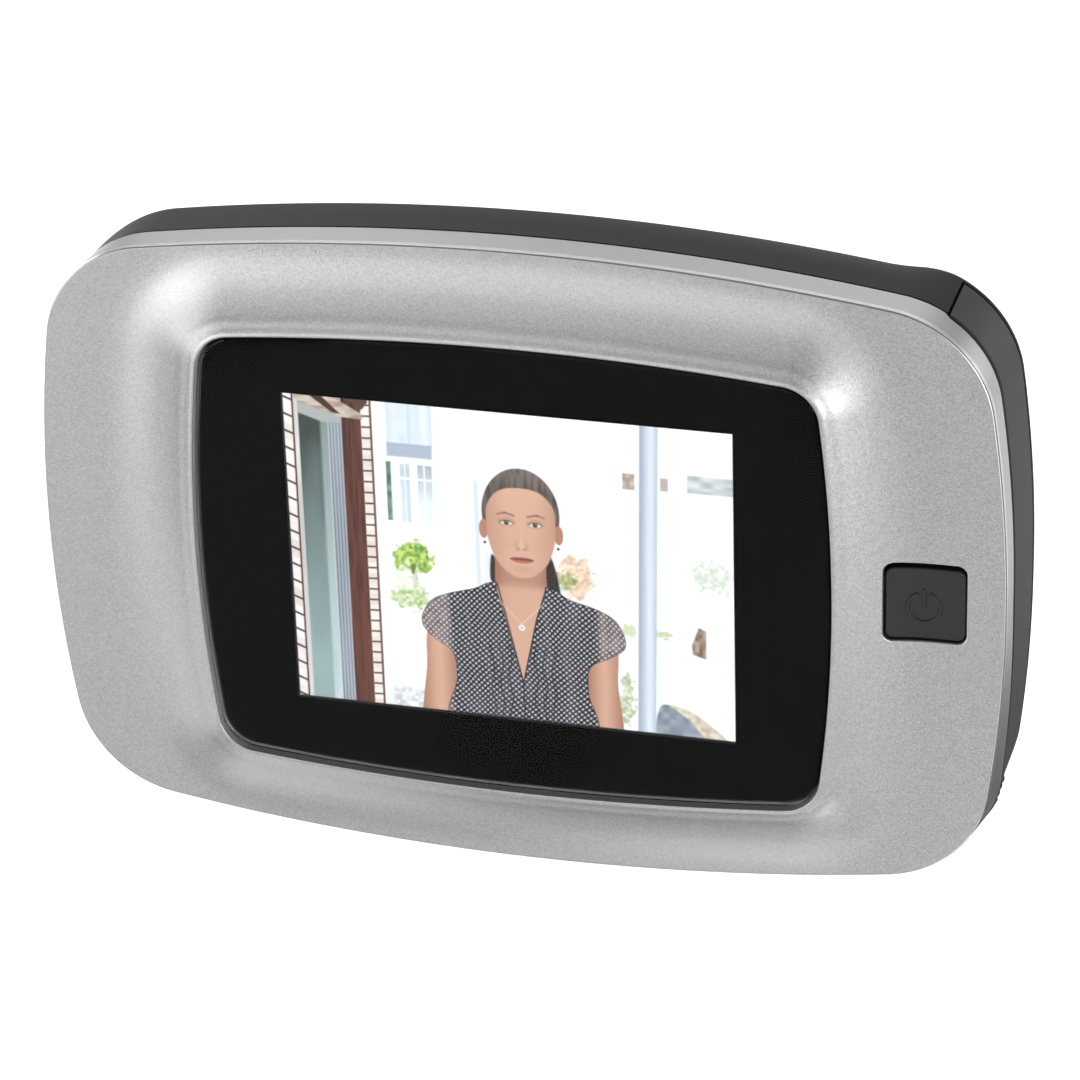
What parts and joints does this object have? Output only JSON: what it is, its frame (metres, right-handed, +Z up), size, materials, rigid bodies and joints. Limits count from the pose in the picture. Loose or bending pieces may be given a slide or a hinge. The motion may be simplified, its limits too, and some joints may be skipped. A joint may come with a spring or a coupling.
{
  "type": "peephole door camera",
  "caption": "Door viewer: curved silver monitor with screen and power button hung on a hook plate, with a threaded clamp through the door to an outdoor camera head.",
  "frame": {"origin": "where the viewer's axis meets the door's inner face, at the middle of the mounting plate's back", "axes": "+X right as seen from the room, +Y out through the door along the viewer's axis, +Z up"},
  "size_m": [0.1253, 0.0707, 0.0856],
  "materials": {
    "silver_paint": "silver metallic paint, satin",
    "dark_case": "fine matt",
    "button_black": "fine matt",
    "window_clear": "polished",
    "print_black": "printed",
    "tape": "matt",
    "foam": "cellular",
    "lcd_glass": "polarising film",
    "backlight_tray": "pressed sheet",
    "flex_film": "polyimide film",
    "frame_plastic": "moulded",
    "steel_zinc": "zinc plated",
    "board_green": "solder mask",
    "chip_black": "moulded epoxy",
    "ferrite": "sintered",
    "capacitor_can": "plain can",
    "connector_ivory": "moulded",
    "switch_body": "moulded",
    "plunger_black": "moulded",
    "cell_can": null,
    "contact_nickel": "nickel plated",
    "plate_steel": "powder coated",
    "sleeve_metal": "satin plated, threaded",
    "head_metal": "satin plated",
    "bezel_metal": "black anodised",
    "lens_glass": "coated",
    "sensor_black": "chip under glass"
  },
  "bodies": {
    "mount": {"mounting_plate": "plate_steel"},
    "monitor": {"front_cover": "silver_paint", "display_window": "window_clear", "window_mask": "print_black", "window_tape": "tape", "display_gasket": "foam", "lcd_panel": "lcd_glass", "lcd_backlight": "backlight_tray", "lcd_flex": "flex_film", "inner_frame": "frame_plastic", "frame_screws": "steel_zinc", "main_board": "board_green", "processor_chip": "chip_black", "memory_chip": "chip_black", "power_inductor": "ferrite", "capacitors": "capacitor_can", "lcd_connector": "connector_ivory", "camera_socket": "connector_ivory", "camera_plug": "connector_ivory", "board_screws": "steel_zinc", "button_board": "board_green", "tact_switch": "switch_body", "button_flex": "flex_film", "battery_tray": "frame_plastic", "tray_screws": "steel_zinc", "battery_cells": "cell_can", "battery_contacts": "contact_nickel", "battery_leads": "contact_nickel", "rear_housing": "dark_case", "housing_screws": "steel_zinc", "flex_loop": "flex_film"},
    "battery_cover": {"battery_cover": "dark_case", "battery_pad": "foam"},
    "power_button": {"power_button": "button_black"},
    "switch_plunger": {"switch_plunger": "plunger_black"},
    "clamp_sleeve": {"clamp_sleeve": "sleeve_metal"},
    "camera": {"camera_barrel": "head_metal", "door_gasket": "foam", "lens_bezel": "bezel_metal", "lens_front": "lens_glass", "lens_cell": "bezel_metal", "lens_rear": "lens_glass", "sensor_board": "board_green", "image_sensor": "sensor_black", "camera_flex": "flex_film"}
  },
  "joints": [
    {"name": "monitor_lift", "type": "slide", "parent": "mount", "child": "monitor", "axis": [0, 0, 1], "range_m": [0, 0.0055], "deforming": ["flex_loop"]},
    {"name": "battery_cover_slide", "type": "slide", "parent": "monitor", "child": "battery_cover", "axis": [1, 0, 0], "range_m": [0, 0.03]},
    {"name": "button_press", "type": "slide", "parent": "monitor", "child": "power_button", "axis": [0, 1, 0], "range_m": [0, 0.0004], "stiffness_N_per_m": 1500},
    {"name": "plunger_press", "type": "slide", "parent": "monitor", "child": "switch_plunger", "axis": [0, 1, 0], "range_m": [0, 0.00045]},
    {"name": "clamp_turn", "type": "hinge", "parent": "mount", "child": "clamp_sleeve", "pos_m": [0, 0, 0], "axis": [0, -1, 0], "range_deg": [-1810, 8650]},
    {"name": "camera_draw", "type": "slide", "parent": "mount", "child": "camera", "axis": [0, 1, 0], "range_m": [-0.005, 0.024], "deforming": ["flex_loop"]}
  ],
  "couplings": [
    {"joint": "plunger_press", "follows": "button_press", "ratio": 1},
    {"joint": "clamp_turn", "follows": "camera_draw", "rad_per_m": 6283.2}
  ]
}
